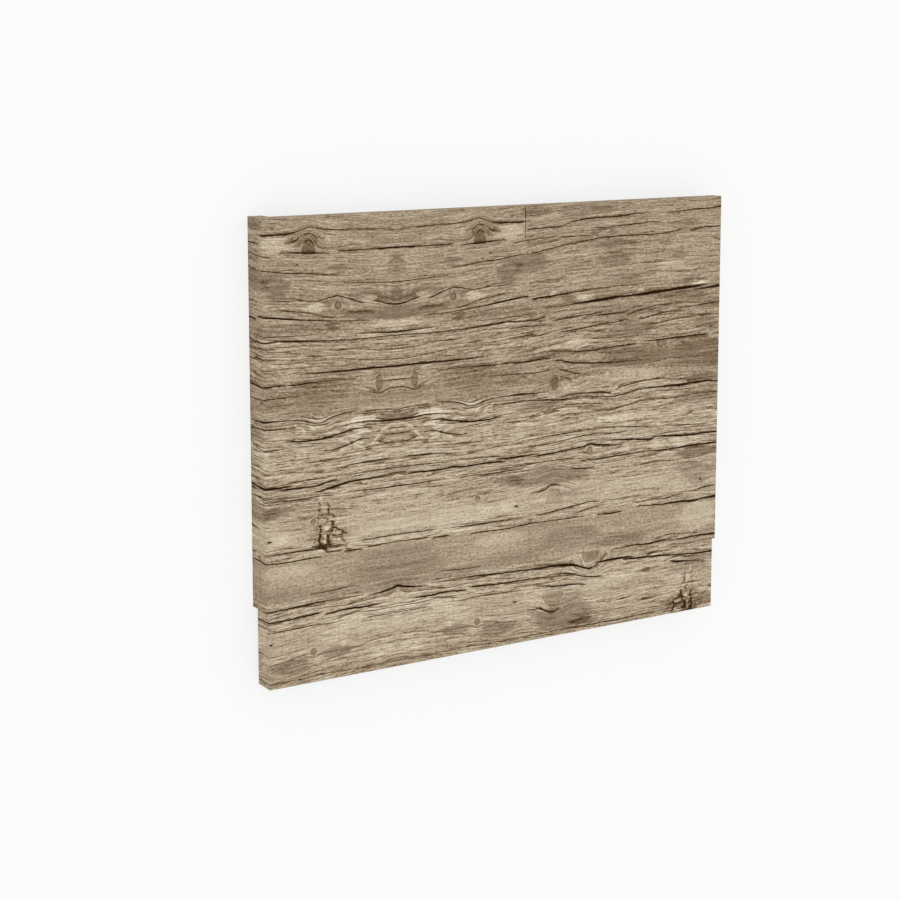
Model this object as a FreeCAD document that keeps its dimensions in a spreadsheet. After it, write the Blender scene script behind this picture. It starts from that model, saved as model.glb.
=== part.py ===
import FreeCAD, Part
import os
import Sketcher

# Bath end panel with a plinth, lying on its back with the decor face up.
# X runs along the width, Y towards the upper edge and Z up out of the decor face, in millimetres.
# The origin is under the middle of the panel, on the floor it lies on.

doc = FreeCAD.newDocument("bath_panel")

# Sizes

sheet = doc.addObject("Spreadsheet::Sheet", "Sizes")
SIZES = [
    ("panel_width", 680, "width of the upper board"),
    ("panel_height", 467, "height of the upper board, from its lower to its upper edge"),
    ("board_thickness", 18, "thickness of the board behind both decor faces"),
    ("return_width", 18, "thickness of the return folded back at the left end"),
    ("panel_depth", 37, "depth of the panel over its return"),
    ("plinth_height", 95, "height of the plinth below the upper board"),
    ("plinth_depth", 30, "depth of the plinth over its return"),
    ("plinth_setback", 1.5, "how far the plinth's face lies behind the panel's face"),
    ("plinth_inset", 3.5, "how far each end of the plinth stops short of the panel's end"),
    ("arris_radius", 0.8, "rounding of the foil-wrapped outer edges"),
]
for row, (alias, value, note) in enumerate(SIZES, start=1):
    sheet.set(f"A{row}", note)
    sheet.set(f"B{row}", str(value))
    sheet.setAlias(f"B{row}", alias)
doc.recompute()


def origin_plane(body, role):
    """The origin plane of a body that has the given role."""
    return [plane for plane in body.Origin.OriginFeatures if plane.Role == role][0]


def folded_board(name, width, depth, height):
    """A board whose section is an L: decor face on top, return folded down at the left end.

    The section is drawn in X and Z and runs from the body's origin towards its lower edge.
    """
    body = doc.addObject("PartDesign::Body", name)
    body.Label = name
    section = body.newObject("Sketcher::SketchObject", name + "_section")
    section.AttachmentSupport = (origin_plane(body, "XZ_Plane"), [""])
    section.MapMode = "FlatFace"

    # A first drawing near the real size; the constraints below set the exact one
    left, right, fold, rear, face = -300, 300, -280, 20, 40
    corners = [(left, 0), (fold, 0), (fold, rear), (right, rear), (right, face), (left, face)]
    foot, fold_side, back, end, front, outer_side = range(6)
    order = [(0, 1), (1, 2), (2, 3), (3, 4), (5, 4), (0, 5)]
    for first, last in order:
        section.addGeometry(Part.LineSegment(
            FreeCAD.Vector(*corners[first], 0), FreeCAD.Vector(*corners[last], 0)))

    start, stop = 1, 2
    joined = [
        (foot, stop, fold_side, start),
        (fold_side, stop, back, start),
        (back, stop, end, start),
        (end, stop, front, stop),
        (front, start, outer_side, stop),
        (outer_side, start, foot, start),
    ]
    for constraint in joined:
        section.addConstraint(Sketcher.Constraint("Coincident", *constraint))
    for line in (foot, back):
        section.addConstraint(Sketcher.Constraint("Horizontal", line))
    for line in (fold_side, end, outer_side):
        section.addConstraint(Sketcher.Constraint("Vertical", line))
    x_axis, z_axis = -1, -2
    section.addConstraint(Sketcher.Constraint("PointOnObject", foot, start, x_axis))
    section.addConstraint(Sketcher.Constraint("Symmetric", front, start, front, stop, z_axis))

    # Dimensions tied to the sheet
    measured = [
        ("width", "DistanceX", front, right - left, width),
        ("depth", "DistanceY", outer_side, face, depth),
        ("board", "DistanceY", end, face - rear, "Sizes.board_thickness"),
        ("fold", "DistanceX", foot, fold - left, "Sizes.return_width"),
    ]
    for label, kind, line, drawn, expression in measured:
        index = section.addConstraint(Sketcher.Constraint(kind, line, start, line, stop, drawn))
        section.renameConstraint(index, label)
        section.setExpression("Constraints." + label, expression)
    doc.recompute()

    board = body.newObject("PartDesign::Pad", name + "_board")
    board.Profile = section
    board.setExpression("Length", height)
    section.Visibility = False
    doc.recompute()
    return body, board


def round_edges(body, feature, wanted):
    """Round the edges of a feature whose middle points pass the given test."""
    names = []
    for index, edge in enumerate(feature.Shape.Edges, start=1):
        middle = edge.valueAt((edge.FirstParameter + edge.LastParameter) / 2)
        if wanted(middle):
            names.append(f"Edge{index}")
    arris = body.newObject("PartDesign::Fillet", body.Name + "_arris")
    arris.Base = (feature, names)
    arris.setExpression("Radius", "Sizes.arris_radius")
    doc.recompute()
    return arris


def near(value, target):
    return abs(value - target) < 1e-6


# Upper board: every edge of the decor face and of the return's outer side is wrapped and rounded

panel, panel_board = folded_board(
    "front_panel", "Sizes.panel_width", "Sizes.panel_depth", "Sizes.panel_height")
panel_face = sheet.panel_depth
panel_end = -sheet.panel_width / 2
round_edges(panel, panel_board, lambda p: near(p.z, panel_face) or near(p.x, panel_end))

# Plinth: its upper edge is left square, because it butts against the upper board

plinth, plinth_board = folded_board(
    "plinth", "Sizes.panel_width - 2 * Sizes.plinth_inset", "Sizes.plinth_depth", "Sizes.plinth_height")
plinth_face = sheet.plinth_depth
plinth_end = panel_end + sheet.plinth_inset
round_edges(
    plinth, plinth_board,
    lambda p: (near(p.z, plinth_face) or near(p.x, plinth_end)) and not near(p.y, 0))

# Placements: the two boards meet along the panel's lower edge, and the whole is centred on the origin

panel.setExpression("Placement.Base.y", "(Sizes.panel_height + Sizes.plinth_height) / 2")
plinth.setExpression("Placement.Base.y", "(Sizes.plinth_height - Sizes.panel_height) / 2")
plinth.setExpression(
    "Placement.Base.z", "Sizes.panel_depth - Sizes.plinth_setback - Sizes.plinth_depth")
doc.recompute()

# Checks and files

for item in doc.Objects:
    if "Invalid" in item.State or "Error" in item.State:
        raise RuntimeError(f"{item.Name} did not build: {item.State}")

os.makedirs("parts", exist_ok=True)
for body in (panel, plinth):
    if not body.Shape.isValid() or len(body.Shape.Solids) != 1:
        raise RuntimeError(f"{body.Label} is not one valid solid")
    body.Shape.exportStep(f"parts/{body.Label}.step")
    box = body.Shape.BoundBox
    print(
        f"{body.Label}: X {box.XMin:.2f} to {box.XMax:.2f}, Y {box.YMin:.2f} to {box.YMax:.2f}, "
        f"Z {box.ZMin:.2f} to {box.ZMax:.2f}, {body.Shape.Volume / 1000:.1f} cm3")
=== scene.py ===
import bpy
from mathutils import Matrix, Vector


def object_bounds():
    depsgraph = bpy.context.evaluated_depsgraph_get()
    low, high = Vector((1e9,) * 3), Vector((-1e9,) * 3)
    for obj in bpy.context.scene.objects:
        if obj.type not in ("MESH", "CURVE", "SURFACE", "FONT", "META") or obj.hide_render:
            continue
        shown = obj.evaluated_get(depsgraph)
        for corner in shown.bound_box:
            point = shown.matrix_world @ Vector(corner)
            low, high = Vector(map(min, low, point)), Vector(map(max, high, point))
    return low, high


# Bath end panel and plinth, lying on the floor with the decor face up, seen from above its left end.
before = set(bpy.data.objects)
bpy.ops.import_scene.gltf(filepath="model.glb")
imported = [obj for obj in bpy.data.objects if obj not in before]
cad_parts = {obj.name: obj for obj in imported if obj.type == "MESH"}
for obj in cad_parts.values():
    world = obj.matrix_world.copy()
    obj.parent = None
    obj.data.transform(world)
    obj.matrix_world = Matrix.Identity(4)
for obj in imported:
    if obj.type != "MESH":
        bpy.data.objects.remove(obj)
cad_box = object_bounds()

# Sizes of the two boards together in millimetres, from the frame
MM = 0.001
PANEL_WIDTH, PANEL_AND_PLINTH_HEIGHT, DEPTH = [round((high - low) / MM) for low, high in zip(*cad_box)]


def linear(colour):
    """An sRGB hex colour as linear red, green, blue and alpha."""
    parts = [int(colour[i:i + 2], 16) / 255 for i in (1, 3, 5)]
    return [c / 12.92 if c <= 0.04045 else ((c + 0.055) / 1.055) ** 2.4 for c in parts] + [1.0]


def add(tree, kind, links=(), output=0, points=None, stops=None, **settings):
    """Adds a node with its settings, curve points or ramp stops, links its sockets and gives one output."""
    node = tree.nodes.new("ShaderNode" + kind)
    for name, value in settings.items():
        setattr(node, name, value)
    for key, value in links.items() if isinstance(links, dict) else enumerate(links):
        if isinstance(value, bpy.types.NodeSocket):
            tree.links.new(value, node.inputs[key])
        elif value is not None:
            node.inputs[key].default_value = value
    if points:
        curve = node.mapping.curves[0]
        curve.points[0].location = points[0]
        curve.points[1].location = points[-1]
        for point in points[1:-1]:
            curve.points.new(*point)
        for point in curve.points:
            point.handle_type = "AUTO_CLAMPED"
        node.mapping.update()
    if stops:
        ramp = node.color_ramp.elements
        while len(ramp) < len(stops):
            ramp.new(1.0)
        for element, (position, colour) in zip(ramp, stops):
            element.position = position
            element.color = linear(colour)
    return node.outputs[output] if node.outputs else node


# Weathered pine decor
#
# The printed pine is laid out in millimetres: across from the mirror line of the print, 179 mm in from
# the left end, and down from the upper edge. The print repeats itself in mirror image on both sides of
# that line, so a crack or knot near it shows twice. The lists were read off. Lightness runs from 0,
# dark brown, to 1, the palest wood, and tones are given as how much lighter they make it.

MIRROR_LINE = 179
# How far across the print reaches, past the right end and round its edge
REACH = 560

# Cracks and dark grain lines, each in one or more runs of (across, down, half width)
CRACKS = {
    "line arching over the dome knots": [
        [(0, 21, .3), (20, 19.5, .4), (50, 18, .5), (95, 16.7, .5), (104, 15, .5), (115, 12.8, .45),
         (128, 15.5, .5), (140, 18.5, .7), (150, 20, .9), (184, 20, .9)],
        [(189, 30, .6), (221, 29, .7), (241, 28, .6), (256, 24, .5), (273, 21, .8), (301, 20, .8),
         (331, 19.5, .8), (361, 17, .6), (381, 17, .3)],
        [(411, 18, .4), (451, 15.5, .7), (481, 15, .6), (501, 13.5, .9)]],
    "chevrons over the dome knots and short lines of the upper right": [
        [(99, 27, .2), (108, 24.5, .4), (117, 20.5, .5), (126, 22.5, .4), (136, 27.5, .5),
         (147, 29.5, .2)],
        [(295, 33, .3), (305, 33, .6), (321, 32, .5), (351, 31, .6), (366, 30.5, .6), (386, 29, .5),
         (403, 29, .2)]],
    "line under the dome knots": [
        [(0, 42.3, 1), (20, 42.6, .9), (35, 42.8, .5), (60, 42.7, .7), (82, 42.7, .3)],
        [(92, 44.2, .4), (100, 43.7, .5), (118, 43, .8), (131, 42.5, .8), (145, 41.5, .6),
         (158, 41.3, .3)],
        [(169, 45.6, .4), (186, 44, .5), (211, 42, .4), (231, 41.6, .4), (271, 42, .4),
         (291, 41.8, .2)]],
    "rising line": [
        [(84, 70, .4), (99, 69, .5), (119, 67, .6), (131, 66, .6), (149, 65, .6), (161, 63.5, .6),
         (176, 61.5, .5), (184, 60, .2)],
        [(196, 60, .4), (219, 57, .5), (241, 53, .5), (266, 50, .6), (291, 47.3, .6), (306, 45.5, .8),
         (341, 45, .7), (381, 45.5, .6), (411, 44.5, .6), (436, 41.5, .4)],
        [(448, 43, .4), (466, 40.5, .7), (501, 40, .6)]],
    "shallow bowl": [
        [(0, 84, .55), (34, 82.5, .5), (72, 80.3, .3)]],
    "line arching over the ring knots": [
        [(0, 111, .9), (12, 109.5, .8), (25, 106, .6), (34, 104.3, .3)],
        [(43, 106.3, .4), (58, 102.5, .6), (74, 97, .6), (81, 95.6, .6), (92, 97.3, .6), (106, 100, .5),
         (131, 98.3, .5), (165, 97.3, .3)]],
    "falling line": [
        [(38, 117, .2), (60, 115.5, .3), (76, 114.2, .1)],
        [(86, 121, .4), (99, 118.5, .5), (119, 114, .5), (141, 110, .5), (160, 107.7, .4)]],
    "long crack": [
        [(47, 127.3, .3), (75, 126, .5), (96, 124, .5), (121, 122, .6), (141, 119.5, .8),
         (161, 117, .9), (178, 115, .9), (192, 113.8, .3)],
        [(196, 118.2, .4), (212, 117.2, 1), (241, 115, .9), (271, 112.6, .7), (301, 110.6, .5),
         (331, 109.5, .3), (361, 110.5, .3)]],
    "heavy crack": [
        [(221, 130, .3), (251, 129.5, .5), (266, 128.2, .8), (286, 127, 1.2), (311, 125.5, 1.6),
         (331, 123.7, 1), (351, 123.6, 1), (371, 123, 1.5), (391, 121.6, 1.6), (411, 120.5, 1.4),
         (436, 119, 1.6), (456, 118, 1.3), (476, 116.6, .7), (484, 116.5, .2)]],
    "tail of the heavy crack": [
        [(119, 139.8, .3), (150, 139, .4), (179, 138.2, .4), (192, 137.3, .2)],
        [(451, 123, .4), (476, 121.5, .8), (501, 119.5, 1.2)]],
    "double line": [
        [(0, 144.8, 1), (15, 144.1, .8), (30, 143.6, .5), (46, 142, .2)],
        [(54, 150.4, .4), (61, 150, .6), (80, 148.6, .6), (101, 147.8, .7), (131, 146, .8),
         (161, 144.3, .7), (176, 145, .7), (196, 145, .7), (219, 142.5, .2)],
        [(227, 147.6, .3), (241, 146.7, .6), (261, 145.2, .7), (291, 143.2, .6), (306, 142, .2)],
        [(346, 147.5, .4), (366, 143.5, .6), (391, 139.7, .5), (411, 138.6, .4), (441, 138, .3)]],
    "under the double line": [
        [(0, 148.8, .4), (26, 148.6, .5), (40, 149.3, .5), (50, 150, .2)],
        [(299, 145.5, .4), (321, 145.1, .7), (341, 145.2, .4)],
        [(436, 145, .5), (461, 143.6, .6), (501, 141.6, .6)]],
    "stepping lines": [
        [(171, 165.8, .3), (193, 164, .5), (205, 163.5, .2)],
        [(241, 163, .4), (261, 162, .7), (286, 159.6, .6), (301, 157.6, .6), (321, 157, .6),
         (346, 155, .3)],
        [(368, 155, .5), (391, 152, .7), (411, 149, .6), (436, 148, .4)]],
    "faint steps": [
        [(166, 152.5, .3), (206, 152.2, .5), (216, 152, .2)],
        [(421, 159, .3), (461, 157, .5), (486, 156, .4)]],
    "middle board edge": [
        [(0, 186, 1.1), (40, 185.7, 1), (80, 186, .9), (111, 185.5, .7), (123, 185, .2)],
        [(231, 187, .4), (246, 188, .5), (266, 190, .6), (291, 191, .6), (311, 189.5, .6),
         (341, 188, .7), (362, 187, .2)],
        [(376, 186, .4), (401, 185, .8), (441, 184.5, .9), (476, 184, .8), (482, 184, .2)]],
    "broken crack": [
        [(60, 196.3, .3), (76, 196, .4), (101, 196.2, .5), (121, 196.6, .8), (139, 197.2, .8),
         (150, 196.8, .5), (165, 196.7, .8), (186, 197, .9), (206, 196, .8), (220, 195.4, .7),
         (226, 195.3, .3)],
        [(231, 199.2, .4), (241, 200, .6), (256, 203.5, .8), (276, 206, .8), (301, 208, .8),
         (321, 209, .7), (351, 209.6, .5), (366, 210, .2)]],
    "between the twin knots": [
        [(0, 202.8, .5), (20, 202.6, .4)],
        [(139, 210.5, .4), (161, 211, .5), (191, 212.2, .5), (206, 212.5, .5), (221, 211, .5),
         (227, 210.5, .2)],
        [(240, 211.3, .4), (251, 214, .6), (261, 217.5, .6), (271, 219, .3)]],
    "smile under the twin knots": [
        [(0, 211.7, .4), (10, 212.3, .5), (18, 215.4, .5), (25, 217.3, .6), (32, 216, .5),
         (40, 213.5, .2)],
        [(241, 221, .3), (251, 223, .5), (258, 227, .2)]],
    "wavy line": [
        [(59, 236, .5), (74, 237.5, .6), (88, 239.6, .6), (98, 243, .5), (106, 245.3, .5),
         (118, 244.3, .5), (126, 241.5, .5), (135, 239.5, .5), (161, 238.4, .6), (181, 238, .9),
         (206, 239, .5), (221, 238.5, .2)],
        [(243, 246.7, .4), (256, 245.1, .7), (281, 245.6, .6), (306, 246.6, 1), (322, 248.2, .3)],
        [(333, 243.5, .5), (346, 241, .7), (361, 239, .7), (381, 237, .5), (411, 236.5, .3)]],
    "second wavy line": [
        [(0, 241, .35), (30, 240.6, .4), (50, 240, .3)],
        [(95, 247, .3), (109, 248, .5), (121, 246.5, .4), (130, 243.5, .2)],
        [(150, 247.3, .3), (179, 246.8, .5), (191, 247, .5), (216, 248.5, .8), (241, 250.5, .9),
         (256, 250.2, .5), (271, 249, .4), (301, 252, .5), (326, 254, .6), (346, 251.5, .6),
         (361, 248.6, .6), (381, 247.6, .7), (411, 248.5, .9), (436, 248.5, 1.2), (461, 247.6, 1.2),
         (481, 247.6, .8), (501, 249, .6)]],
    "bow": [
        [(0, 251.7, 1.1), (22, 251.4, .9), (38, 250, .6), (58, 250.3, .5), (74, 252, .3)],
        [(301, 270, .4), (321, 271.6, .6), (341, 268.6, .5), (366, 264.6, .4), (392, 263, .2)],
        [(403, 264.6, .4), (411, 265.3, .6), (441, 264, .4), (471, 262.6, .5), (501, 263, .6)]],
    "upper wings": [
        [(38, 257.6, .3), (50, 257.2, .6), (65, 258.3, .8), (81, 261.5, .9), (100, 264.4, 1),
         (119, 265.6, .9), (134, 265, .8), (149, 263, .4)],
        [(251, 258, .3), (281, 260, .5), (311, 262.5, .4)]],
    "lower wings": [
        [(0, 269.2, .5), (15, 268.6, .5), (26, 266.8, .3)],
        [(38, 270.8, .4), (50, 270.5, .6), (64, 274.5, .7), (79, 278, .6), (99, 280.2, .4)],
        [(161, 272.2, .6), (175, 272.4, .5), (201, 270, .3)]],
    "tail of the wings": [
        [(0, 279.5, .3), (14, 279, .5), (27, 277, .3)],
        [(60, 290, .3), (90, 291, .4), (120, 292, .3)]],
    "brow": [
        [(12, 298.6, .5), (30, 299, .8), (58, 300, .6), (82, 302.3, .4)],
        [(196, 298, .3), (221, 296, .5), (251, 295, .6), (281, 294, .4), (321, 294.6, .5),
         (361, 298, .6), (381, 299, .3)],
        [(421, 302.5, .4), (451, 304, .6), (481, 306, .4)]],
    "second brow": [
        [(0, 311, .6), (30, 311.3, .5), (64, 312, .4)],
        [(191, 307, .4), (221, 306, .5), (251, 304, .5), (271, 302, .6), (301, 300.6, .6),
         (321, 302.6, .5), (345, 303, .2)]],
    "main crack": [
        [(201, 320, .4), (221, 319.5, .9), (251, 317.6, .8), (276, 315.6, .9), (288, 313.6, 1),
         (301, 315.6, 1), (321, 318, .7), (341, 319.6, .2)]],
    "overlapping main crack": [
        [(146, 317, .5), (171, 318, 1), (190, 317.4, .7), (206, 316.5, .3)],
        [(321, 312, .4), (341, 313, .8), (361, 314.6, 1), (376, 316.6, 1), (388, 317, 1),
         (396, 314.6, .8), (411, 315.5, 1), (436, 317.5, 1.1), (461, 318.5, 1.1), (481, 318, .9),
         (501, 319, 1)]],
    "thin line below the main crack": [
        [(0, 334.2, .6), (20, 334.4, .6), (40, 334, .5), (60, 333.2, .3)],
        [(91, 334, .3), (121, 334.2, .5), (141, 334.6, .6), (161, 334.2, .5), (180, 334, .4)],
        [(276, 333.5, .4), (311, 334, .8), (341, 333.6, .7), (381, 333, .5), (421, 334, .8),
         (461, 333, 1.1), (501, 333.5, .9)]],
    "hair above it": [
        [(150, 330, .3), (179, 330, .5), (221, 328.6, .4), (261, 328.6, .3)]],
    "brow over the half knot": [
        [(201, 367, .4), (216, 366, .7), (223, 363, .6), (229, 360, .7), (236, 360.4, .6),
         (243, 364, .3)],
        [(258, 341.5, .4), (266, 343, .6), (281, 345, .6), (296, 343.5, .3)]],
    "pale board lines": [
        [(0, 394.6, .5), (30, 395, .6), (56, 395.7, .2)],
        [(66, 396.2, .3), (81, 396.5, .4), (121, 397.6, .8), (161, 397.2, .6), (185, 397, .3)],
        [(206, 397, .4), (241, 394.6, .7), (271, 391.6, .7), (288, 389.6, .7), (306, 391, .3)],
        [(321, 392, .3), (361, 391, .4)],
        [(461, 395, .4), (481, 392.6, .7), (498, 391.6, .5)]],
    "second pale board lines": [
        [(266, 403, .3), (281, 399.6, .5), (296, 397.6, .5), (311, 397, .3)],
        [(401, 401, .3), (431, 398, .5), (445, 397.5, .2)]],
    "lower board edge": [
        [(0, 403.6, .4), (30, 404, .5), (42, 405, .3)],
        [(50, 406, .5), (66, 405.6, .8), (76, 405.6, .3)],
        [(106, 408, .5), (131, 408.2, .7), (155, 408.8, .6), (170, 408, .5), (186, 407, .8),
         (206, 406.6, .7), (221, 407, .5), (251, 407.6, .7), (281, 408, .3)],
        [(301, 408.6, .4), (321, 409.6, .9), (341, 409, .4)],
        [(366, 406, .4), (391, 407, .7), (411, 408, .9), (441, 408, 1.1), (461, 409.5, 1.1),
         (481, 408, .9), (501, 407.6, 1.2)]],
    "lines above the roof crack": [
        [(61, 450, .3), (86, 451.3, .5), (109, 452.5, .3)],
        [(336, 459, .4), (361, 458, .7), (386, 459, .9), (411, 457.6, .8), (426, 459, .5),
         (441, 459.6, .7), (461, 459, .9), (501, 460, 1)]],
    "hair at the right": [
        [(401, 453, .3), (421, 450.6, .5), (441, 452, .4), (471, 455, .3)]],
    "roof crack": [
        [(0, 459, 1.5), (7, 461, 1.2), (16, 462.6, 1), (30, 464.4, .7), (44, 465.3, .3)],
        [(56, 463, .3), (91, 463, .5), (121, 464, .8), (141, 465, 1), (166, 466.4, .9), (191, 467, .9),
         (216, 468, 1.1), (241, 468.6, 1.5), (256, 470, 1.6), (268, 472, 1.4), (276, 475, 1.2),
         (284, 478, 1), (291, 479.6, .9), (299, 478, .6), (306, 477, .3)],
        [(346, 475.6, .5), (371, 476.6, 1), (401, 478, 1), (421, 480, .9), (451, 482.6, .8),
         (481, 484, .8), (501, 484, 1.1)]],
    "overlapping roof crack": [
        [(303, 473.5, .5), (311, 473, 1), (331, 472.6, 1.2), (351, 473, .9), (363, 474, .3)],
        [(424, 488, .5), (436, 490.6, 1.2), (451, 492, .8), (466, 494, .5), (481, 496, .2)]],
    "plinth line": [
        [(26, 478.6, .4), (46, 479, 1), (71, 478, .9), (91, 479.5, .8), (100, 480, .2)],
        [(108, 477, .8), (121, 478, .9), (161, 479.6, .8), (191, 480, .7), (211, 480.6, .6),
         (231, 482, .5), (266, 485, .6), (286, 490, .7), (301, 492, .9), (311, 492.6, .4)],
        [(431, 483, .4), (451, 485.6, .6), (476, 488, .3)]],
    "second plinth line": [
        [(0, 485, .3), (30, 485.6, .4), (60, 484, .3), (100, 484.6, .3)],
        [(236, 479, .4), (261, 482, .6), (271, 483.6, .3)]],
    "third plinth line": [
        [(0, 493.2, .5), (21, 493, .5), (41, 492.6, .3)],
        [(91, 492, .3), (121, 491.4, .4), (161, 492, .4), (176, 490, .3)],
        [(206, 491, .4), (241, 496, .8), (256, 496.6, .8), (286, 500, .5)]],
    "brow under the plinth knot": [
        [(196, 521, .4), (213, 522, .7), (221, 526, .8), (229, 529, 1), (235, 529, .9), (243, 526, .3)],
        [(258, 546.8, .4), (276, 545, .6), (296, 545, .4)]],
    "lowest line": [
        [(0, 555, .4), (49, 555, .3), (81, 554, .4), (119, 554.5, .3), (161, 555, .4), (221, 555, .4),
         (321, 555.6, .6), (381, 555, .5), (441, 553, .3)]],
}

# Cracks that the print does not mirror, measured from the left end instead
ONE_SIDED_CRACKS = {
    "main crack": [
        [(0, 317, .9), (15, 317.5, .9), (30, 318, .4)],
        [(65, 328, .4), (80, 326.5, .9), (95, 324, 1.1), (110, 321.5, 1), (130, 320.5, .9),
         (150, 320, .8), (170, 319, .3)],
        [(194, 320, .5), (199, 320, .7), (215, 320.5, .9), (239, 321.2, .9), (255, 319.8, 1),
         (280, 321, .9), (300, 320.6, 1), (320, 320.6, .9), (337, 322, .4)]],
    "step of the main crack": [
        [(20, 321, .5), (40, 321, .9), (60, 321.5, .8), (75, 319.5, .9), (88, 317, .8),
         (96, 316.5, .3)],
        [(167, 317.6, .4), (179, 317.5, .6), (191, 317.6, .4)]],
}

# Soft stains and pale places: across, down, half length, half height, how much lighter
STAINS = [
    (158, 31, 28, 9, .15), (205, 8, 25, 8, -.10), (285, 8, 50, 8, -.10), (303, 37, 20, 4, -.14),
    (440, 32, 25, 5, -.10), (195, 73, 28, 14, -.12), (215, 47, 20, 4, -.12), (162, 82, 18, 17, -.12),
    (330, 54, 38, 5, -.16), (330, 74, 28, 11, -.12), (420, 87, 25, 6, .12), (433, 76, 14, 5, -.12),
    (340, 100, 30, 7, -.08), (112, 109, 13, 7, .18), (0, 60, 13, 13, -.12), (78, 62, 13, 4, -.16),
    (45, 95, 20, 6, -.10), (0, 121, 64, 9, -.13), (88, 132, 8, 5, -.14), (150, 131, 45, 6, -.10),
    (0, 134, 40, 5, .16), (455, 108, 20, 5, -.14), (470, 115, 16, 3, .14), (280, 121, 14, 4, .20),
    (256, 120, 10, 5, -.12), (440, 130, 45, 4, -.10), (271, 178, 22, 6, .16), (350, 168, 40, 12, -.12),
    (480, 168, 25, 8, -.10), (125, 212, 62, 22, -.06), (361, 204, 62, 13, -.11),
    (470, 208, 52, 22, -.12), (343, 227, 78, 8, .10), (253, 236, 18, 5, .10), (46, 246, 20, 5, .34),
    (48, 260, 12, 3.5, .28), (0, 248, 24, 6, -.12), (73, 256, 8, 6, -.12), (8, 272, 12, 4, -.03),
    (110, 246, 12, 8, .12), (476, 241, 34, 6, -.16), (425, 246, 16, 3, .14), (208, 256, 30, 5, -.10),
    (460, 268, 40, 10, -.10), (186, 272, 10, 7, .12), (297, 311, 18, 3, -.12), (430, 325, 60, 5, .12),
    (225, 348, 62, 13, -.14), (470, 342, 40, 8, -.19), (450, 361, 22, 7, -.14), (162, 348, 20, 8, -.14),
    (110, 352, 40, 12, -.04), (60, 382, 120, 10, .06), (360, 380, 110, 12, .02),
    (466, 381, 16, 6, -.14), (0, 432, 60, 26, -.075), (150, 450, 60, 8, -.06), (150, 422, 40, 10, .08),
    (0, 206, 44, 9, .09), (260, 432, 45, 18, -.08), (335, 447, 50, 7, -.12), (470, 430, 35, 20, .12),
    (50, 466, 22, 5, .10), (455, 468, 40, 6, -.08), (150, 537, 30, 9, -.14), (84, 529, 22, 6, -.14),
    (250, 537, 50, 18, -.16), (266, 514, 18, 8, -.10), (282, 549, 22, 4, -.10), (0, 348, 60, 9, .07),
    (40, 398, 80, 5, .14), (0, 492, 110, 22, .09), (66, 251, 18, 5, .28), (350, 241, 30, 4, .08),
    (0, 146, 45, 4, .10), (340, 142, 75, 9, -.08), (270, 190, 90, 5, -.08), (0, 455, 110, 5, -.08),
    (390, 122, 110, 5, -.08), (240, 184, 40, 4, .12), (340, 283, 60, 6, .08), (480, 140, 30, 10, -.06),
    (460, 500, 35, 12, -.08), (330, 497, 50, 9, .08), (0, 540, 50, 6, .08), (90, 512, 20, 4, .10),
    (165, 381, 18, 8, .10), (265, 376, 25, 5, -.10), (136, 30, 13, 6, -.12), (229, 112, 5, 2, .25),
    (371, 118, 10, 2.5, .22), (461, 112, 14, 3, .20), (150, 190, 18, 40, .05), (470, 368, 34, 8, -.12),
    (150, 142, 40, 6, .08), (480, 486, 20, 9, -.10), (0, 100, 30, 8, -.09), (80, 108, 13, 9, -.06),
    (0, 97, 15, 6, -.10), (215, 265, 26, 3, .10), (285, 265, 18, 3, .10), (233, 230, 3, 4, -.10),
]

# Knots: across, down, half width, half height, how dark the body and the edge are, and which half
# shows: -1 upper, 1 lower, 0 both
KNOTS = [
    (118.5, 43, 8, 16, .25, .14, -1), (80, 107, 3.6, 4.2, .10, .26, 0),
    (25, 203.5, 4.8, 8.5, .18, .14, 0), (233, 228, 5.2, 10, .17, .10, 0), (403, 187, 8, 8, .12, .14, 1),
    (288, 322, 3.6, 4.2, .10, .14, 0), (233, 383, 12, 17, .10, .14, -1),
    (233, 506, 15, 15, .17, .14, 1), (291, 458, 13, 13, .16, .14, 1),
    (116.5, 524, 3.8, 4.2, .20, .14, 0), (116, 364, 3.4, 3.8, .16, .14, 0),
]

# Waves of the grain: across, down, half length, half height, how far the grain is pushed down
WAVES = [
    (118, 14, 26, 14, -4), (0, 106, 30, 14, 8), (80, 98, 16, 10, -4), (108, 245, 20, 12, 6),
    (20, 214, 18, 8, 4), (291, 478, 28, 14, 8), (290, 312, 22, 10, -3), (327, 256, 34, 16, 5),
    (0, 460, 18, 10, -5), (95, 264, 40, 12, 4),
]

# Resin spots: across, down, half width, half height
SPOTS = [
    (134, 56, 1.8, 1), (174, 381.5, 3.4, 1.3), (473, 381, 2.4, 1.4), (174, 507, 3.4, 1.2),
    (305, 221, 1.2, .8), (371, 290, 1.2, .8), (378, 287, 1, .8), (414, 320, 1.2, .8),
    (500, 436, 1.2, .7),
]

# Pale curls of lifted grain: from across, down to across, down, with a half width
CURLS = [
    (2, 257, 12, 258.3, 1.3), (12, 258.3, 20, 262.5, 1.4), (20, 262.5, 27, 270, 1.4),
    (27, 270, 36, 279, 1.2), (53, 268, 69, 262.5, 1.4), (49, 275.5, 63, 270, 1.3),
    (46, 282, 59, 276, 1.2), (66, 273.5, 80, 268.5, 1.2), (114, 252, 121, 247, 1.4),
    (121, 247, 128, 242.5, 1.4), (126, 254, 132, 249, 1.2), (132, 249, 138, 246, 1.2),
    (36, 190, 47, 188.5, 1.2), (44, 205, 60, 201.5, .3), (40, 212, 58, 206.5, .3),
    (300, 41, 316, 37, 1),
]

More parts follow.
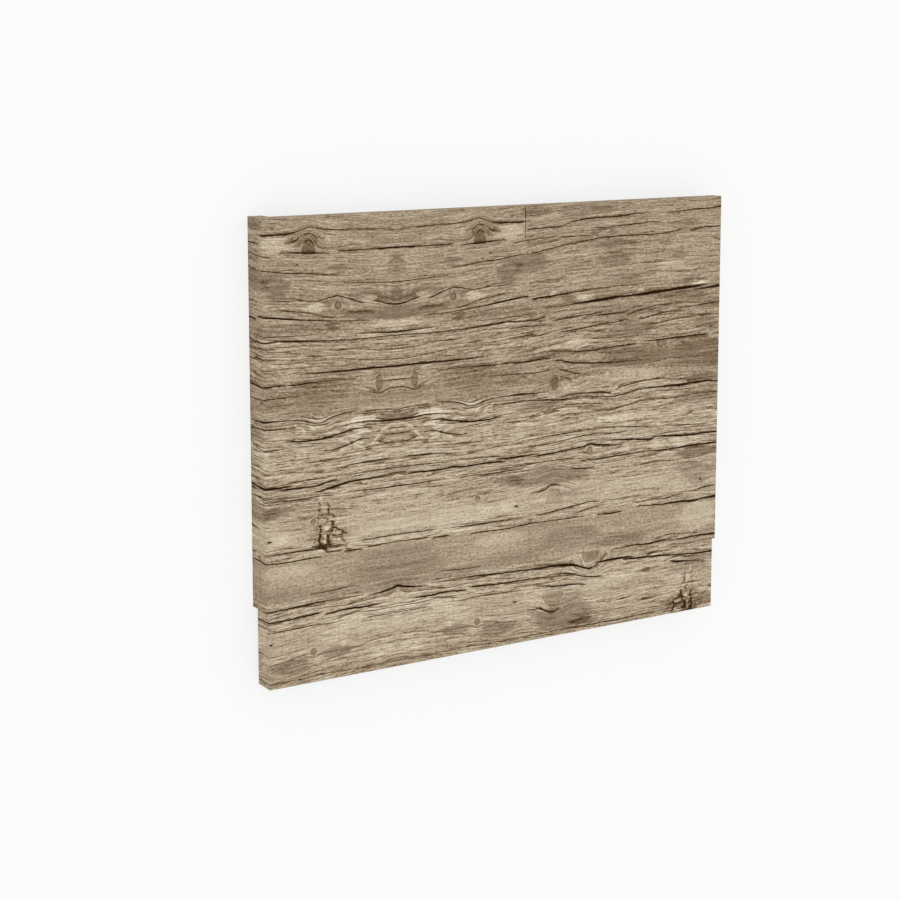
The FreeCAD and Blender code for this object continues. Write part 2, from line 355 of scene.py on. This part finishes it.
# Bark pocket: creases from one place to another with a half width, measured from the pocket's heart
CREASES = [
    (-6, -9.4, -4.2, -6.4, .6), (-7.6, -3.5, -5, 1.4, .4), (5.2, -7.9, 8.6, -3.5, .9),
    (6.6, -1, 7, 3.4, 1.2), (-7, 4.9, 8, 5.4, .7), (10, 4.9, 14, 8.8, .7), (4.7, 11.7, 12, 16, .8),
    (1.2, 9.3, 5.2, 10.3, .5), (-7.6, 5.4, -7.6, 16, .2), (-5, 19, -3.7, 26, 1.1),
    (12.5, 16, 11, 27, 1.3), (-4.6, 29, -6.6, 35.7, 1.5), (-6.6, 35.7, -4.6, 41.6, 1.6),
    (-11, 35.7, -13.5, 38.2, .5), (5.6, 32, 6, 39.7, 1.8), (-14.5, 42, -4.6, 45.5, .9),
    (-4.6, 41.6, 2.2, 47.5, 2.2), (2.2, 43, 0, 47.5, 1.2), (3.2, 50.5, 12, 51.4, .9),
    (12, 51.4, 21.8, 51.4, .9), (7, 43.6, 18, 45.5, .7), (18, 45.5, 31.6, 46, .7),
    (30.6, 45.5, 29.7, 49.5, .6), (29.7, 49.5, 36.5, 51.4, .6), (11.5, 23.5, 18, 24, .8),
    (18, 24, 25.7, 28, .8), (12, 31.8, 22.8, 32.3, .9), (25.7, 29, 24.3, 36.7, .9),
    (24.3, 36.7, 28.2, 41, .9), (26.7, 29, 31.6, 31.8, .6), (-17.4, 22, -6.6, 23, .3),
    (-22, 33, -12, 33.5, .2),
]

# Lumps of the bark pocket: place from its heart, half width, half height, how much lighter
LUMPS = [
    (1.2, -2, 4.5, 4.5, .16), (-3.7, -14.5, 2.4, 5, .20), (-7.6, 1, .9, 1.3, .25),
    (4.2, 21.5, 6, 3.2, .34), (10, 13.2, 4.5, 1.2, .36), (18.9, 16, 2, 1.4, .36),
    (1.2, 35.7, 3, 5.5, .20), (14.5, 29, 3, 2.5, .08), (20.8, 29, 3.2, 2.3, .22), (18, 39.7, 7, 4, .16),
    (-11.5, 44.4, 3, .9, .36), (-4.6, 48, 3.5, 1, .45), (4.2, 26.4, 5, 2, -.10), (8, 34, 28, 22, -.10),
    (0, 42, 13, 9, -.14), (22, 46, 12, 7, -.08), (2, 28, 38, 12, -.08), (-26, 30, 16, 8, -.12),
    (38, 30, 16, 8, -.12),
]

# How light each board of the print is, down the panel
BOARD_TONES = [
    (0, .52), (60, .53), (100, .54), (126, .50), (150, .53), (185, .50), (215, .48), (236, .54),
    (270, .58), (296, .64), (320, .60), (345, .60), (378, .66), (400, .62), (412, .56), (440, .54),
    (455, .56), (470, .60), (490, .64), (522, .63), (550, .56), (562, .55),
]

# How strongly the grain lines show, down the panel: the board above the plinth is nearly smooth
LINES = [
    (0, .55), (45, .5), (60, .5), (100, .55), (130, .5), (148, .85), (180, .85), (190, .5), (232, .45),
    (240, 1), (330, 1), (345, .8), (366, .7), (372, .4), (387, .4), (393, .8), (403, .8), (408, .5),
    (414, .12), (450, .15), (458, .6), (470, 1), (496, .9), (502, .5), (517, .55), (524, .9),
    (562, .85),
]

# The grain climbs towards the right in the upper boards and sinks in the plinth. Down the panel 1 is the
# steepest climb, 0.5 level and 0 the steepest fall. Across it, the values are the share of that reached.
CLIMB_DOWN = [(0, .9), (60, 1), (130, 1), (240, .62), (330, .5), (400, .45), (520, .05), (562, 0)]
CLIMB_ACROSS = [(0, 0), (40, .05), (179, .5), (310, .92), (501, 1)]

# From the steepest fall to the steepest climb at the right end, and how far the grain wanders on its way
CLIMB = 44
WANDER = 10

# Noise of the print: length along the grain and width across it in millimetres, detail and roughness.
# Real pores are finer than one dot of the picture, so pores, dashes and streaks are drawn about 2 mm wide.
PATTERNS = {
    "broad": (80, 7, 3, .6),
    "streaks": (60, 2.2, 2, .6),
    "dashes": (17, 1.7, 1.5, .6),
    "pores": (6, 1.5, 2, .6),
    "speckle": (3.2, 2.6, 1, .6),
    "rings": (240, 26, 2, .6),
    "bare": (34, 5, 2, .6),
    "wander": (110, 30, 2, .5),
    "fray": (26, 7, 4, .65),
    "shake": (14, 6, 2, .6),
    "crumple": (6, 6, 3, .6),
    "bark": (5, 4, 3, .65),
}
# Those that follow the grain round its knots and waves
GRAIN = ("broad", "streaks", "dashes", "pores", "speckle", "rings", "bare")

# Marks of the grain: pattern, the values of it between which they set in, how much lighter they are
MARKS = [
    ("dashes", .56, .68, -.32), ("dashes", .44, .32, .22), ("streaks", .54, .72, -.22),
    ("streaks", .46, .30, .16),
]
# Mottle of the print: pattern, how much lighter it makes the wood
MOTTLE = [("broad", .45), ("streaks", -.25), ("pores", .70), ("speckle", .45)]
# Distance between two grain lines, and by how many of them the year rings shift the lines
LINE_SPACING = 6
RING_SHIFT = 5
# How much lighter the dark and the pale side of a grain line are
LINE_TONES = (-0.34, 0.16)

# Ovals fade between these shares of their half sizes
WAVE_EDGE = (0.0, 1.6)
STAIN_EDGE = (1.2, 0.7)
LUMP_EDGE = (1.2, 0.5)
KNOT_EDGE = (1.15, 0.8)
# A knot bends the grain between these shares, by this much of its half height
KNOT_BEND = (0.2, 3.2)
KNOT_PUSH = 0.6
# Half thickness of the dark line round a knot, the number of ring lines in one half size and their tone
KNOT_LINE = 0.6
KNOT_RINGS = 3.2
RING_TONE = -0.13
# How steeply a half knot is cut off at its middle, and how round its corners are
HALF_KNOT_CUT = 9.0
HALF_KNOT_CORNER = 0.3
# How far the edges of stains are frayed across and down, and how much stronger than listed they show
STAIN_FRAY = (25, 7)
STAIN_STRENGTH = 1.35
# Pale curls set in between these depths inside their edge, in millimetres
CURL_EDGE = (-1.2, 0.8)
CURL_TONE = 0.26

# A curve holds values from 0 to 1, so a crack's place down the panel is a share of this height,
# and its half width a share of this span, with one half for no width at all
CURVE_HEIGHT = 616
WIDTH_SPAN = 5
# Cracks are drawn this much wider than they were read off, so that the fine ones show
CRACK_BREADTH = 1.35
# Between two runs a crack narrows to this half width, which hides it, within this length of its end
CLOSED_WIDTH = -2
CLOSING_LENGTH = 16
# How far a crack strays up and down
CRACK_SHAKE = 0.8
# Depths inside its edge between which a crack turns dark, and between which the wood beside it is shaded
CRACK_EDGE = (-0.5, 0.6)
CRACK_SHADE = (-3.5, -0.3)
# How much lighter the wood beside a crack is, from shaded to lifted
CRACK_SIDE_TONES = (-0.19, 0.14)

# Hearts of the bark pocket and of its mirror image, along from the left end and down
POCKET = (77, 352)
MIRRORED_POCKET = (636, 517)
# Torn bark in the pocket, an oval placed from its heart, and how far the whole pocket is crumpled
TORN_BARK = (7, 32, 19, 21)
CRUMPLE = 2.5
# How much lighter its bark is, from dark to pale, and its creases, which set in between these depths
BARK_TONES = (-0.30, 0.16)
CREASE_TONE = -0.45
CREASE_EDGE = (-1.3, 0.9)

# Butt joint of two printed boards: along from the left end, half thickness, how far down it runs, tone
JOINT_ALONG = 365
JOINT_HALF_THICKNESS = 0.8
JOINT_END = 41
JOINT_TONE = -0.28

# Colours of the print by lightness, of a crack from its edge to its heart, and of the backing paper
PINE = [
    (0.0, "#38270f"), (0.1, "#554129"), (0.2, "#6e5a42"), (0.35, "#89765e"), (0.5, "#a2917a"),
    (0.65, "#baaa91"), (0.8, "#cdbea7"), (1.0, "#e4d5c0"),
]
CRACK_HEART = [(0.3, "#5f4020"), (1.0, "#241402")]
BACKING_PAPER = [(0.3, "#b9ae9c"), (0.7, "#c8beac")]
# Dark stains are a little more mauve than the wood
STAIN_TINT = (0.99, 1.0, 1.10, 1)

# Depth of the embossed pores, in millimetres
EMBOSSING = 0.4

# Where a search for the nearest knot, crack or stroke starts: far outside, in half sizes or millimetres
FAR = 9.0

# The numbers of each MapRange below are the two values that it runs between, then what it makes of them


def shares(steps, whole):
    """Curve points from places in millimetres, each with its value."""
    return [(place / whole, value) for place, value in steps]


def crack_curves(runs, whole):
    """Curve points of a crack's place down the panel, and of its half width, which closes between runs."""
    closed = 0.5 + CLOSED_WIDTH / WIDTH_SPAN
    middle = [(place / whole, down / CURVE_HEIGHT) for run in runs for place, down, width in run]
    widths = []
    start = runs[0][0][0]
    if start:
        widths.append(((start - CLOSING_LENGTH / 2) / whole, closed))
    for run, following in zip(runs, runs[1:] + [None]):
        widths += [(place / whole, 0.5 + width * CRACK_BREADTH / WIDTH_SPAN) for place, down, width in run]
        end = run[-1][0]
        gap = following[0][0] - end if following else CLOSING_LENGTH
        for share in (0.5,) if gap < CLOSING_LENGTH else (0.3, 0.7):
            widths.append(((end + share * gap) / whole, closed))
    return middle, widths


def oval(tree, place, across, down, half_width, half_height):
    """Offset from the middle of an oval in shares of its half sizes, and its length, 1 at the edge."""
    offset = add(tree, "VectorMath", [place, (1 / half_width, 1 / half_height, 0),
                 (-across / half_width, -down / half_height, 0)], operation="MULTIPLY_ADD")
    return offset, add(tree, "VectorMath", [offset], operation="LENGTH", output=1)


def pattern(tree, place, name, output=0):
    """Noise of the print, drawn out to its real length and width."""
    length, width, detail, roughness = PATTERNS[name]
    drawn_out = add(tree, "VectorMath", [place, (1 / length, 1 / width, 0)], operation="MULTIPLY")
    noise = {"Vector": drawn_out, "Scale": 1, "Detail": detail, "Roughness": roughness}
    return add(tree, "TexNoise", noise, output=output)


def inside_strokes(tree, place, strokes):
    """How deep each place lies inside the nearest of some straight strokes, in millimetres."""
    deepest = -FAR
    for x_start, y_start, x_end, y_end, half_width in strokes:
        run = Vector((x_end - x_start, y_end - y_start, 0))
        away = add(tree, "VectorMath", [place, (x_start, y_start, 0)], operation="SUBTRACT")
        share = add(tree, "VectorMath", [away, run / run.length_squared], operation="DOT_PRODUCT", output=1)
        share = add(tree, "Clamp", [share])
        slid = add(tree, "VectorMath", {0: run, "Scale": share}, operation="SCALE")
        away = add(tree, "VectorMath", [away, slid], operation="SUBTRACT")
        away = add(tree, "VectorMath", [away], operation="LENGTH", output=1)
        depth_in = add(tree, "Math", [half_width, away], operation="SUBTRACT")
        deepest = add(tree, "Math", [depth_in, deepest], operation="MAXIMUM")
    return deepest


def place_on_foil(tree):
    """Place on the foil in millimetres, carried round the edges on to the ends of the board.

    Along runs from the left end. Reach and board are the places across and down as shares, for the curves.
    """
    coords = add(tree, "TexCoord").node.outputs
    from_corner = add(tree, "VectorMath", [coords["Object"], (1 / MM, -1 / MM, -1 / MM),
                      (PANEL_WIDTH / 2, PANEL_AND_PLINTH_HEIGHT / 2, DEPTH)], operation="MULTIPLY_ADD")
    depth = add(tree, "VectorMath", [from_corner, (0, 0, 1)], operation="DOT_PRODUCT", output=1)
    outward = add(tree, "VectorMath", [coords["Normal"], (1, -1, 0)], operation="MULTIPLY")
    turned = add(tree, "VectorMath", {0: outward, "Scale": depth}, operation="SCALE")
    laid = add(tree, "VectorMath", [from_corner, turned], operation="ADD")
    along, down = add(tree, "SeparateXYZ", [laid]).node.outputs[:2]
    from_mirror = add(tree, "Math", [along, MIRROR_LINE], operation="SUBTRACT")
    across = add(tree, "Math", [from_mirror], operation="ABSOLUTE")
    return {
        "normal": coords["Normal"], "along": along, "down": down, "across": across,
        "flat": add(tree, "CombineXYZ", [across, down]),
        "reach": add(tree, "Math", [across, 1 / REACH], operation="MULTIPLY"),
        "board": add(tree, "Math", [down, 1 / PANEL_AND_PLINTH_HEIGHT], operation="MULTIPLY"),
    }


def grain_direction(tree, at):
    """Place down the panel as the grain runs, how near the nearest knot is, and how dark the knots are.

    The boards climb slowly, have waves, and their knots push the grain apart.
    """
    climb = add(tree, "FloatCurve", {"Value": at["board"]},
                points=shares(CLIMB_DOWN, PANEL_AND_PLINTH_HEIGHT))
    climb = add(tree, "Math", [climb, 0.5], operation="SUBTRACT")
    sweep = add(tree, "FloatCurve", {"Value": at["reach"]}, points=shares(CLIMB_ACROSS, REACH))
    climb = add(tree, "Math", [climb, sweep], operation="MULTIPLY")
    grain_down = add(tree, "Math", [climb, CLIMB, at["down"]], operation="MULTIPLY_ADD")
    for across, down, half_length, half_height, push in WAVES:
        _, radius = oval(tree, at["flat"], across, down, half_length, half_height)
        swell = add(tree, "MapRange", [radius, *WAVE_EDGE, 1, 0], interpolation_type="SMOOTHSTEP")
        grain_down = add(tree, "Math", [swell, -push, grain_down], operation="MULTIPLY_ADD")
    nearest = FAR
    dark = 0.0
    for across, down, half_width, half_height, darkness, edge, half in KNOTS:
        offset, radius = oval(tree, at["flat"], across, down, half_width, half_height)
        below = add(tree, "VectorMath", [offset, (0, 1, 0)], operation="DOT_PRODUCT", output=1)
        bend = add(tree, "MapRange", [radius, *KNOT_BEND, 1, 0], interpolation_type="SMOOTHSTEP")
        if half:
            hidden = add(tree, "Math", [below, -half * HALF_KNOT_CUT], operation="MULTIPLY")
            radius = add(tree, "Math", [radius, hidden, HALF_KNOT_CORNER], operation="SMOOTH_MAX")
            below = add(tree, "Math", [below, 0.0], operation="MAXIMUM" if half > 0 else "MINIMUM")
        push = add(tree, "Math", [bend, below], operation="MULTIPLY")
        grain_down = add(tree, "Math", [push, -KNOT_PUSH * half_height, grain_down],
                         operation="MULTIPLY_ADD")
        nearest = add(tree, "Math", [radius, nearest], operation="MINIMUM")
        body = add(tree, "MapRange", [radius, *KNOT_EDGE, 0, darkness], interpolation_type="SMOOTHSTEP")
        line = add(tree, "Math", [radius, 1, KNOT_LINE / half_width], operation="COMPARE")
        body = add(tree, "Math", [line, edge, body], operation="MULTIPLY_ADD")
        dark = add(tree, "Math", [body, dark], operation="MAXIMUM")
    wander = pattern(tree, at["flat"], "wander")
    grain_down = add(tree, "Math", [wander, WANDER, grain_down], operation="MULTIPLY_ADD")
    return grain_down, nearest, dark


def frayed_stains(tree, flat):
    """How much lighter the soft stains and pale places make the wood."""
    fray_across, fray_down = STAIN_FRAY
    fray = pattern(tree, flat, "fray", output=1)
    fray = add(tree, "VectorMath", [fray, (2 * fray_across, 2 * fray_down, 0),
               (-fray_across, -fray_down, 0)], operation="MULTIPLY_ADD")
    frayed = add(tree, "VectorMath", [flat, fray], operation="ADD")
    stain = 0.0
    for across, down, half_length, half_height, lighter in STAINS:
        _, radius = oval(tree, frayed, across, down, half_length, half_height)
        cover = add(tree, "MapRange", [radius, *STAIN_EDGE, 0, lighter], interpolation_type="SMOOTHSTEP")
        stain = add(tree, "Math", [cover, stain], operation="ADD")
    return stain


def grain_lines(tree, grain_down, textures):
    """How much lighter the grain lines are: sharp and dark on one side, pale on the other.

    They break off where the wood is bare, and have dashes and streaks between them.
    """
    dark_tone, pale_tone = LINE_TONES
    phase = add(tree, "Math", [grain_down, 1 / LINE_SPACING], operation="MULTIPLY")
    phase = add(tree, "Math", [textures["rings"], RING_SHIFT, phase], operation="MULTIPLY_ADD")
    phase = add(tree, "Math", [phase], operation="FRACT")
    bare = add(tree, "Math", [textures["bare"], 0.5], operation="SUBTRACT")
    dark_side = add(tree, "Math", [bare, 1.1, phase], operation="MULTIPLY_ADD")
    lines = add(tree, "MapRange", [dark_side, 0.80, 0.92, 0, dark_tone])
    pale_side = add(tree, "MapRange", [phase, 0.25, 0.0, 0, pale_tone])
    lines = add(tree, "Math", [lines, pale_side], operation="ADD")
    for name, start, end, lighter in MARKS:
        mark = add(tree, "MapRange", [textures[name], start, end, 0, lighter])
        lines = add(tree, "Math", [lines, mark], operation="ADD")
    return lines


def knot_rings(tree, nearest):
    """Ring lines inside the knots and just round them."""
    rings = add(tree, "Math", [nearest, KNOT_RINGS], operation="MULTIPLY")
    rings = add(tree, "Math", [rings, 0.5], operation="PINGPONG")
    rings = add(tree, "MapRange", [rings, 0.2, 0.0, 0, 1], interpolation_type="SMOOTHSTEP")
    near_knot = add(tree, "MapRange", [nearest, 1.5, 1.0, 0, 1], interpolation_type="SMOOTHSTEP")
    return add(tree, "Math", [rings, near_knot], operation="MULTIPLY")


def inside_cracks(tree, at):
    """How deep each place lies inside the nearest crack or resin spot, in millimetres."""
    shake = pattern(tree, at["flat"], "shake")
    shaken = add(tree, "Math", [shake, -2 * CRACK_SHAKE, CRACK_SHAKE], operation="MULTIPLY_ADD")
    above = add(tree, "Math", [shaken, at["down"]], operation="SUBTRACT")
    length = add(tree, "Math", [at["along"], 1 / PANEL_WIDTH], operation="MULTIPLY")
    cracks = [(runs, at["reach"], REACH) for runs in CRACKS.values()]
    cracks += [(runs, length, PANEL_WIDTH) for runs in ONE_SIDED_CRACKS.values()]
    deepest = -FAR
    for runs, place, whole in cracks:
        middle, width = crack_curves(runs, whole)
        middle = add(tree, "FloatCurve", {"Value": place}, points=middle)
        offset = add(tree, "Math", [middle, CURVE_HEIGHT, above], operation="MULTIPLY_ADD")
        offset = add(tree, "Math", [offset], operation="ABSOLUTE")
        half_width = add(tree, "FloatCurve", {"Value": place}, points=width)
        half_width = add(tree, "Math", [half_width, WIDTH_SPAN, -WIDTH_SPAN / 2], operation="MULTIPLY_ADD")
        depth_in = add(tree, "Math", [half_width, offset], operation="SUBTRACT")
        deepest = add(tree, "Math", [depth_in, deepest], operation="MAXIMUM")
    for across, down, half_width, half_height in SPOTS:
        _, radius = oval(tree, at["flat"], across, down, half_width, half_height)
        depth_in = add(tree, "Math", [radius, -half_height, half_height], operation="MULTIPLY_ADD")
        deepest = add(tree, "Math", [depth_in, deepest], operation="MAXIMUM")
    return deepest


def with_bark_pockets(tree, at, light):
    """Lightness with the bark pocket, which the print shows again, mirrored, at the plinth's right end."""
    mirror_along, mirror_down = MIRRORED_POCKET
    plain = add(tree, "CombineXYZ", [at["along"], at["down"]])
    first = add(tree, "VectorMath", [plain, (*POCKET, 0)], operation="SUBTRACT")
    second = add(tree, "VectorMath", [plain, (-1, 1, 1), (mirror_along, -mirror_down, 0)],
                 operation="MULTIPLY_ADD")
    right_half = add(tree, "Math", [at["along"], PANEL_WIDTH / 2], operation="GREATER_THAN")
    pocket = add(tree, "Mix", {0: right_half, 4: first, 5: second}, output=1, data_type="VECTOR")
    crumple = pattern(tree, pocket, "crumple", output=1)
    crumple = add(tree, "VectorMath", [crumple, (2 * CRUMPLE, 2 * CRUMPLE, 0), (-CRUMPLE, -CRUMPLE, 0)],
                  operation="MULTIPLY_ADD")
    pocket = add(tree, "VectorMath", [pocket, crumple], operation="ADD")
    bark = pattern(tree, pocket, "bark")
    bark = add(tree, "MapRange", [bark, 0.35, 0.65, *BARK_TONES])
    _, torn = oval(tree, pocket, *TORN_BARK)
    torn = add(tree, "MapRange", [torn, *STAIN_EDGE, 0, 1], interpolation_type="SMOOTHSTEP")
    light = add(tree, "Math", [bark, torn, light], operation="MULTIPLY_ADD")
    crease = inside_strokes(tree, pocket, CREASES)
    for across, down, half_width, half_height, lighter in LUMPS:
        _, radius = oval(tree, pocket, across, down, half_width, half_height)
        cover = add(tree, "MapRange", [radius, *LUMP_EDGE, 0, lighter], interpolation_type="SMOOTHSTEP")
        light = add(tree, "Math", [light, cover], operation="ADD")
    crease = add(tree, "MapRange", [crease, *CREASE_EDGE, 0, CREASE_TONE], interpolation_type="SMOOTHSTEP")
    return add(tree, "Math", [light, crease], operation="ADD")


def backed(tree, at):
    """1 on the rear and on the inner side of the returns, else 0."""
    facing = add(tree, "SeparateXYZ", [at["normal"]]).node.outputs
    rear = add(tree, "Math", [facing["Z"], -0.5], operation="LESS_THAN")
    inner = add(tree, "Math", [facing["X"], 0.5], operation="GREATER_THAN")
    left_half = add(tree, "Math", [at["along"], PANEL_WIDTH / 2], operation="LESS_THAN")
    inner = add(tree, "Math", [inner, left_half], operation="MULTIPLY")
    return add(tree, "Math", [rear, inner], operation="MAXIMUM")


def weathered_pine_foil():
    """Paper foil printed with weathered pine and wrapped round the board, plain backing paper behind.

    It gives a matt surface whose dark cracks and knots are printed and only lightly embossed.
    """
    material = bpy.data.materials.new("weathered_pine_printed_foil")
    material.use_nodes = True
    tree = material.node_tree
    tree.nodes.clear()

    at = place_on_foil(tree)
    grain_down, nearest, dark = grain_direction(tree, at)
    figure = add(tree, "CombineXYZ", [at["across"], grain_down])
    textures = {name: pattern(tree, figure, name) for name in GRAIN}
    lined = add(tree, "FloatCurve", {"Value": at["board"]}, points=shares(LINES, PANEL_AND_PLINTH_HEIGHT))

    # Lightness of the print: boards and stains first, with the grain fainter in dark stains and in knots
    light = add(tree, "FloatCurve", {"Value": at["board"]},
                points=shares(BOARD_TONES, PANEL_AND_PLINTH_HEIGHT))
    stain = frayed_stains(tree, at["flat"])
    patchy = add(tree, "MapRange", [textures["streaks"], 0.36, 0.64, 0.8, 1.2])
    stain = add(tree, "Math", [stain, patchy], operation="MULTIPLY")
    clear = add(tree, "MapRange", [stain, -0.14, -0.02, 0.35, 1])
    lined = add(tree, "Math", [lined, clear], operation="MULTIPLY")
    smooth = add(tree, "MapRange", [nearest, 0.8, 1.2, 0.4, 1])
    lined = add(tree, "Math", [lined, smooth], operation="MULTIPLY")
    light = add(tree, "Math", [stain, STAIN_STRENGTH, light], operation="MULTIPLY_ADD")

    # Then the grain lines and the mottle
    lines = grain_lines(tree, grain_down, textures)
    light = add(tree, "Math", [lines, lined, light], operation="MULTIPLY_ADD")
    mottle = 0.0
    for name, lighter in MOTTLE:
        centred = add(tree, "Math", [textures[name], 0.5], operation="SUBTRACT")
        mottle = add(tree, "Math", [centred, lighter, mottle], operation="MULTIPLY_ADD")
    calm = add(tree, "Math", [clear, 0.5, 0.5], operation="MULTIPLY_ADD")
    calm = add(tree, "Math", [calm, smooth], operation="MULTIPLY")
    light = add(tree, "Math", [mottle, calm, light], operation="MULTIPLY_ADD")

    # Knots with their rings, and pale curls
    rings = knot_rings(tree, nearest)
    light = add(tree, "Math", [rings, RING_TONE, light], operation="MULTIPLY_ADD")
    light = add(tree, "Math", [light, dark], operation="SUBTRACT")
    curl = inside_strokes(tree, at["flat"], CURLS)
    curl = add(tree, "MapRange", [curl, *CURL_EDGE, 0, CURL_TONE], interpolation_type="SMOOTHSTEP")
    light = add(tree, "Math", [light, curl], operation="ADD")

    # A crack is dark at its heart, shaded beside it and pale here and there where its edge has lifted
    inside = inside_cracks(tree, at)
    light = with_bark_pockets(tree, at, light)
    ragged = add(tree, "Math", [textures["pores"], -1.0, 0.5], operation="MULTIPLY_ADD")
    inside = add(tree, "Math", [inside, ragged], operation="ADD")
    crack = add(tree, "MapRange", [inside, *CRACK_EDGE, 0, 1], interpolation_type="SMOOTHSTEP")
    shade = add(tree, "MapRange", [inside, *CRACK_SHADE, 0, 1])
    side = add(tree, "MapRange", [textures["bare"], 0.38, 0.70, *CRACK_SIDE_TONES])
    light = add(tree, "Math", [side, shade, light], operation="MULTIPLY_ADD")

    # Butt joint, a thin upright line that starts at the upper edge
    joint = add(tree, "Math", [at["along"], JOINT_ALONG, JOINT_HALF_THICKNESS], operation="COMPARE")
    joint_end = add(tree, "Math", [at["down"], JOINT_END], operation="LESS_THAN")
    joint = add(tree, "Math", [joint, joint_end], operation="MULTIPLY")
    light = add(tree, "Math", [joint, JOINT_TONE, light], operation="MULTIPLY_ADD")

    # Colours of the print, and plain backing paper
    wood = add(tree, "ValToRGB", [light], stops=PINE)
    mauve = add(tree, "MapRange", [stain, 0.0, -0.2, 0, 1])
    wood = add(tree, "Mix", {0: mauve, 6: wood, 7: STAIN_TINT}, output=2, data_type="RGBA",
               blend_type="MULTIPLY")
    heart = add(tree, "ValToRGB", [crack], stops=CRACK_HEART)
    wood = add(tree, "Mix", {0: crack, 6: wood, 7: heart}, output=2, data_type="RGBA")
    rear = backed(tree, at)
    paper = add(tree, "ValToRGB", [textures["speckle"]], stops=BACKING_PAPER)
    colour = add(tree, "Mix", {0: rear, 6: wood, 7: paper}, output=2, data_type="RGBA")

    # The pressing plate leaves the pores a little duller and lower than the rest. Lacquered paper has an
    # IOR of about 1.45, and its matt finish leaves little shine.
    roughness = add(tree, "MapRange", [textures["pores"], 0.3, 0.7, 0.70, 0.52])
    relief = add(tree, "Math", [textures["pores"], textures["streaks"]], operation="SUBTRACT")
    raised = add(tree, "Bump", {"Strength": 0.25, "Distance": EMBOSSING * MM, "Height": relief})
    shader = add(tree, "BsdfPrincipled", {
        "Base Color": colour, "Roughness": roughness, "IOR": 1.45, "Specular IOR Level": 0.04,
        "Normal": raised})
    add(tree, "OutputMaterial", {"Surface": shader})
    return material


foil = weathered_pine_foil()
for name in ("front_panel", "plinth"):
    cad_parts[name].data.materials.clear()
    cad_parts[name].data.materials.append(foil)

# Floor, light and camera, in metres

FLOOR_REACH = 40
# Share of plain white in what the camera sees of the floor
FLOOR_WHITENESS = 0.72


def white_floor_paint():
    """Matt white paint, which the camera sees a little whiter than the light makes it, with its shadow."""
    material = bpy.data.materials.new("white_floor_paint")
    material.use_nodes = True
    tree = material.node_tree
    tree.nodes.clear()
    lit = add(tree, "BsdfDiffuse", {"Color": linear("#f6f6f6"), "Roughness": 0.5})
    glow = add(tree, "Emission", {"Color": linear("#ffffff"), "Strength": 1.0})
    path = add(tree, "LightPath").node.outputs
    seen = add(tree, "Math", [path["Is Camera Ray"], path["Is Glossy Ray"]], operation="MAXIMUM")
    seen = add(tree, "Math", [seen, path["Is Transmission Ray"]], operation="MAXIMUM")
    seen = add(tree, "Math", [seen, FLOOR_WHITENESS], operation="MULTIPLY")
    paint = add(tree, "MixShader", [seen, lit, glow])
    add(tree, "OutputMaterial", {"Surface": paint})
    return material


floor_mesh = bpy.data.meshes.new("floor")
floor_mesh.from_pydata(
    [(-FLOOR_REACH, -FLOOR_REACH, 0), (FLOOR_REACH, -FLOOR_REACH, 0), (FLOOR_REACH, FLOOR_REACH, 0),
     (-FLOOR_REACH, FLOOR_REACH, 0)], [], [(0, 1, 2, 3)])
floor = bpy.data.objects.new("floor", floor_mesh)
bpy.context.collection.objects.link(floor)
floor_mesh.materials.append(white_floor_paint())

world = bpy.data.worlds.new("white_studio")
bpy.context.scene.world = world
world.use_nodes = True
background = world.node_tree.nodes["Background"].inputs
background["Color"].default_value = linear("#ffffff")
background["Strength"].default_value = 1.0

# The shift keeps the upright edges nearly parallel and still leaves the part whole in other views
camera_data = bpy.data.cameras.new("camera")
camera_data.sensor_width = 36
camera_data.lens = 76.38
camera_data.shift_y = -0.14
camera = bpy.data.objects.new("camera", camera_data)
bpy.context.collection.objects.link(camera)
camera.location = (-1.3085, 0.463, 2.0032)
aim = Vector((-0.0857, 0.1403, 0.037))
back = (camera.location - aim).normalized()
right = Vector((0, 1, 0)).cross(back).normalized()
camera.rotation_euler = Matrix((right, back.cross(right), back)).transposed().to_euler()
bpy.context.scene.camera = camera
bpy.context.scene.view_settings.view_transform = "Standard"
